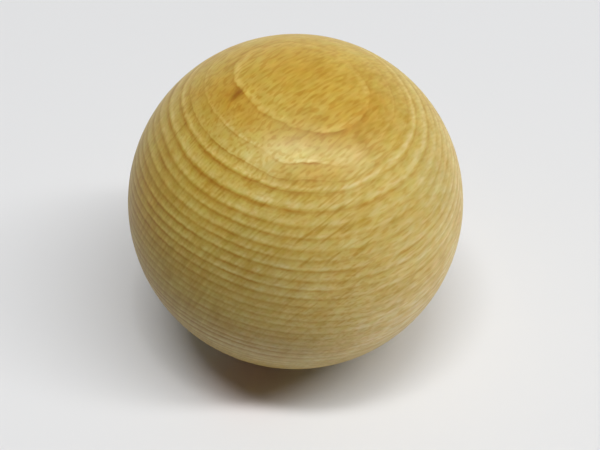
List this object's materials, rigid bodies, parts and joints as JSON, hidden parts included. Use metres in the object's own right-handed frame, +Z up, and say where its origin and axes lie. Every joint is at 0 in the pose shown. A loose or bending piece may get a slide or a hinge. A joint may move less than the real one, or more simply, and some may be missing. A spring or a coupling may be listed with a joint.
{
  "type": "wooden ball",
  "caption": "Plain solid ball turned from varnished beech, with growth rings, ray flecks and a small dark pin knot.",
  "frame": {"origin": "centre of the ball", "axes": "+Z up, -Y towards the front, +X to the right; the wood's growth rings lie nearly level, with their innermost eye near +Z, and the fibres run nearly level, about 45 degrees round from +X towards +Y"},
  "size_m": [0.07, 0.07, 0.07],
  "materials": {
    "beech": "satin"
  },
  "bodies": {
    "root": {"ball": "beech"}
  },
  "joints": []
}
